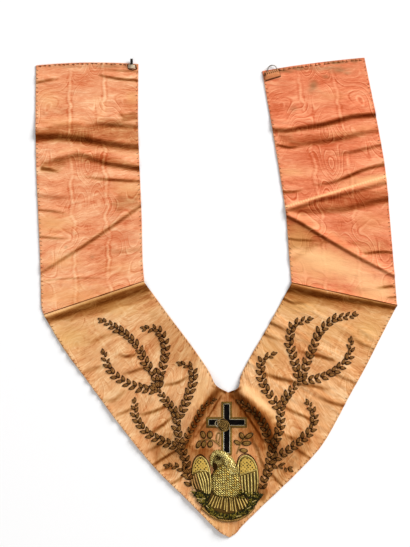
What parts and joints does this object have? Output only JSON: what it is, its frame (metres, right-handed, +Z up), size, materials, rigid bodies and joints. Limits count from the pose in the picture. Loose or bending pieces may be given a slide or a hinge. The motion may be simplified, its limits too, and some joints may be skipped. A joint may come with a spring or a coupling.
{
  "type": "regalia collar",
  "caption": "Flat-laid moire ribbon neck collar, mitred to a point, embroidered with leafy branches, a cross and a raised bird, with a dress hook and eye at the neck ends.",
  "frame": {"origin": "middle of the collar's outline, on the surface that it lies on", "axes": "+Y from the point towards the neck ends, +X to the right seen from above, +Z up off the surface"},
  "size_m": [0.3618, 0.48, 0.01],
  "materials": {
    "strap_silk": "faded salmon moire silk",
    "front_silk": "faded tan orange moire silk",
    "bronze_thread": "tarnished metal thread embroidery",
    "sprig_thread": "dull gold thread embroidery",
    "silver_gold_cord": "twisted metal cord",
    "black_velvet": "black silk velvet",
    "rose_thread": "coiled metal thread",
    "gold_thread": "padded metal thread embroidery",
    "green_chenille": "green chenille",
    "black_metal": "japanned wire",
    "cream_thread": "sewing thread",
    "steel_wire": "dull nickel-plated wire"
  },
  "bodies": {
    "root": {"left_strap": "strap_silk", "right_strap": "strap_silk", "eye_tab": "strap_silk", "left_front": "front_silk", "right_front": "front_silk", "left_stem": "bronze_thread", "left_branch_1": "bronze_thread", "left_branch_2": "bronze_thread", "left_branch_3": "bronze_thread", "left_branch_4": "bronze_thread", "left_branch_5": "bronze_thread", "left_branch_6": "bronze_thread", "left_branch_7": "bronze_thread", "right_stem": "bronze_thread", "right_branch_1": "bronze_thread", "right_branch_2": "bronze_thread", "right_branch_3": "bronze_thread", "right_branch_4": "bronze_thread", "right_branch_5": "bronze_thread", "right_branch_6": "bronze_thread", "right_branch_7": "bronze_thread", "left_sprig": "sprig_thread", "right_sprig": "sprig_thread", "cross_cord": "silver_gold_cord", "cross_field": "black_velvet", "rose": "rose_thread", "left_wing": "gold_thread", "right_wing": "gold_thread", "bird_body": "gold_thread", "bird_neck": "gold_thread", "tail_fan": "gold_thread", "nest": "green_chenille", "hook": "black_metal", "hook_tab": "cream_thread", "eye": "steel_wire"}
  },
  "joints": []
}
